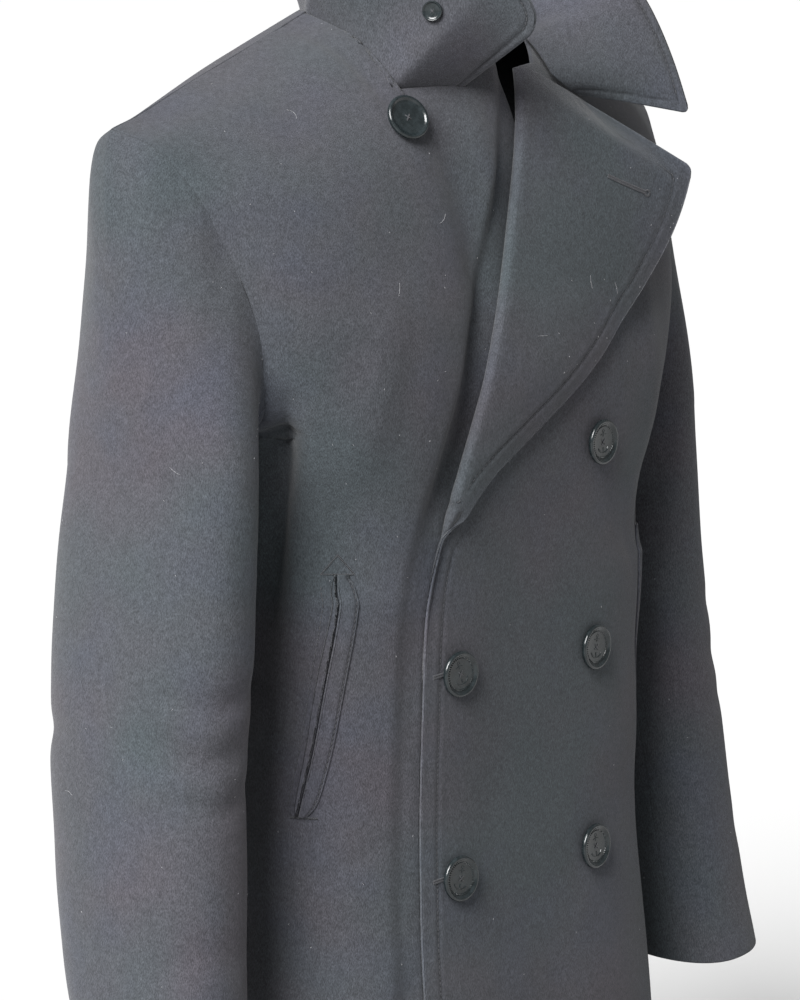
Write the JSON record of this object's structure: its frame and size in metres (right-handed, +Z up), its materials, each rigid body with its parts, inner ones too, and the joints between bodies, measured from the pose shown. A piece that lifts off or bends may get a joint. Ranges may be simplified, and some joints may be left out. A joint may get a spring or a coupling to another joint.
{
  "type": "double-breasted wool coat",
  "caption": "Hip-length double-breasted wool pea coat with popped collar, folded lapel, slanted pockets and buttons, hollow as if worn.",
  "frame": {"origin": "middle of the neck base, level with the side neck points, where the wearer holds the coat up", "axes": "+Z up, -Y to the front of the coat, +X to the wearer's left"},
  "size_m": [0.5655, 0.2556, 0.8825],
  "materials": {
    "melton": "dark navy to charcoal melton wool with a short nap",
    "button": "glossy black resin"
  },
  "bodies": {
    "root": {"back_left": "melton", "back_right": "melton", "button_chest": "button", "button_collar": "button", "button_left_1": "button", "button_left_2": "button", "button_left_3": "button", "button_right_2": "button", "button_right_3": "button", "collar": "melton", "front_left": "melton", "front_right": "melton", "pocket_lip_left": "melton", "pocket_lip_right": "melton", "pocket_welt_left": "melton", "pocket_welt_right": "melton", "sleeve_top_left": "melton", "sleeve_top_right": "melton", "sleeve_under_left": "melton", "sleeve_under_right": "melton"}
  },
  "joints": []
}
